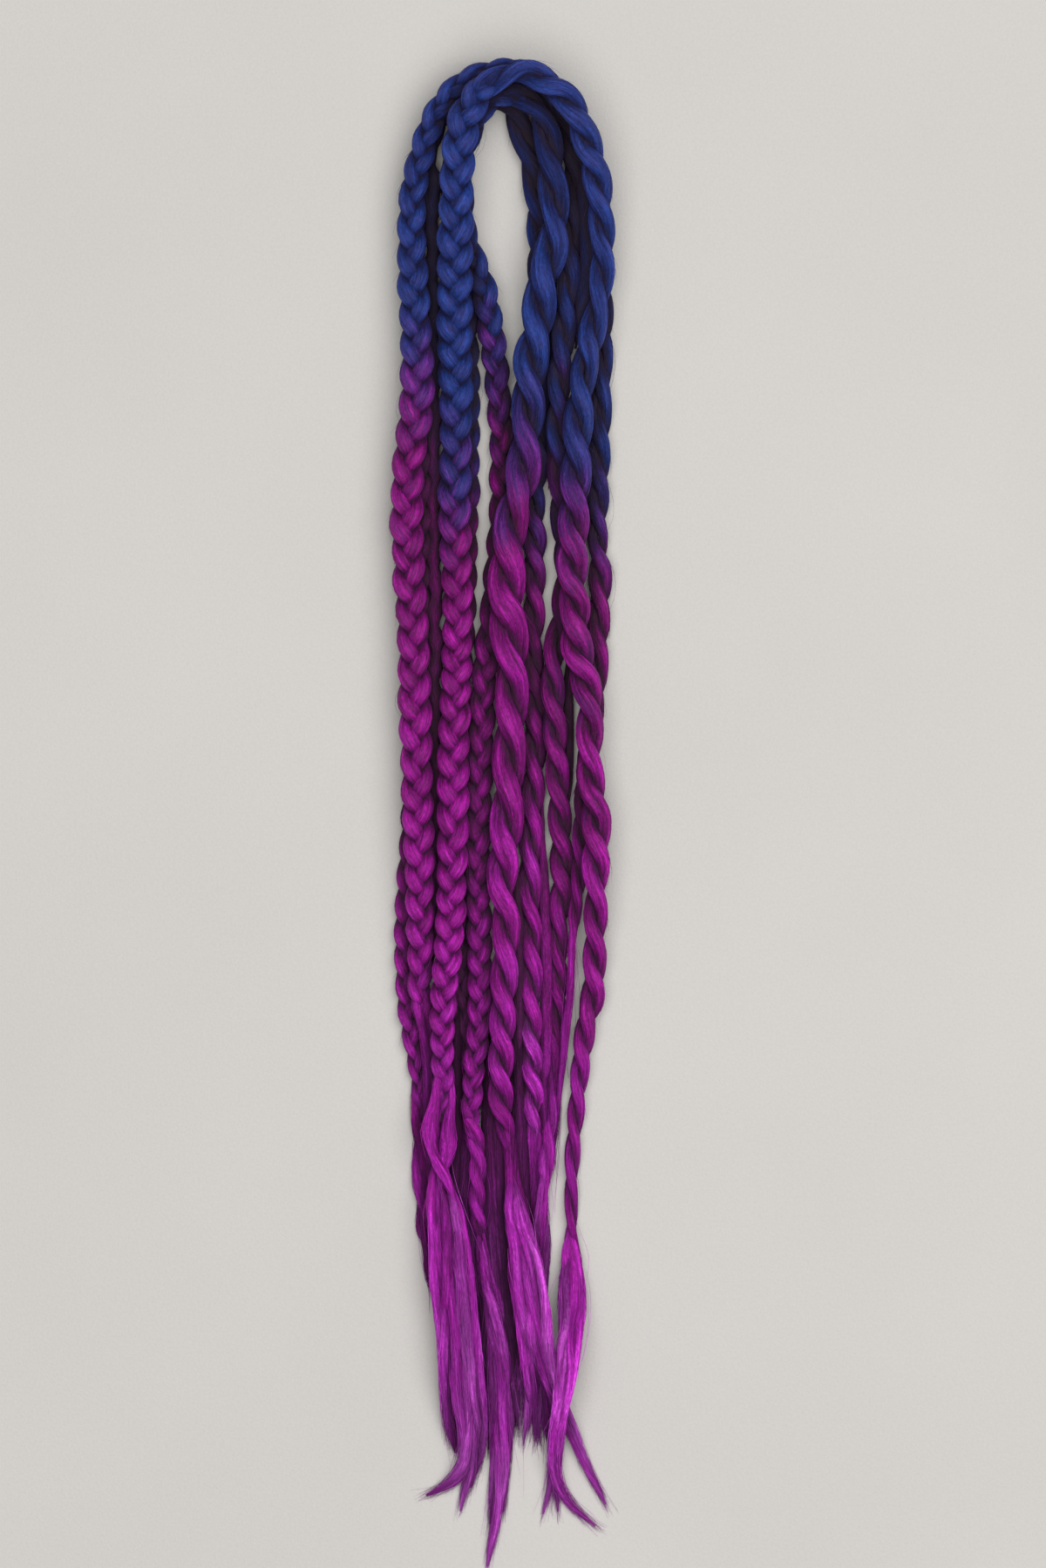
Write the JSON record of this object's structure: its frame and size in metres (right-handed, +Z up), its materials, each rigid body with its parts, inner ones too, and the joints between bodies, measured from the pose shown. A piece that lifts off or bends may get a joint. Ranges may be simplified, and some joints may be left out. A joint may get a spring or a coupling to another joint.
{
  "type": "double-ended braided hair extension hank",
  "caption": "Synthetic hair extensions folded over at the middle into a flat hank: plaited legs on one side, rope-twisted legs on the other, loose tapered tails below, blue fading to violet.",
  "frame": {"origin": "middle of the underside of the hank, on the surface it lies on", "axes": "+Z up from that surface, +Y along the hank towards the fold, +X across it towards the rope-twisted legs"},
  "size_m": [0.0932, 0.6268, 0.0332],
  "materials": {
    "leg_hair": "matte",
    "tail_hair": "matte"
  },
  "bodies": {
    "root": {"braid_1": "leg_hair", "braid_2": "leg_hair", "braid_3": "leg_hair", "braid_4": "leg_hair", "braid_5": "leg_hair", "twist_1": "leg_hair", "twist_2": "leg_hair", "twist_3": "leg_hair", "twist_4": "leg_hair", "twist_5": "leg_hair", "braid_tail_1": "tail_hair", "braid_tail_2": "tail_hair", "braid_tail_3": "tail_hair", "braid_tail_4": "tail_hair", "braid_tail_5": "tail_hair", "twist_tail_1": "tail_hair", "twist_tail_2": "tail_hair", "twist_tail_3": "tail_hair", "twist_tail_4": "tail_hair", "twist_tail_5": "tail_hair"}
  },
  "joints": []
}
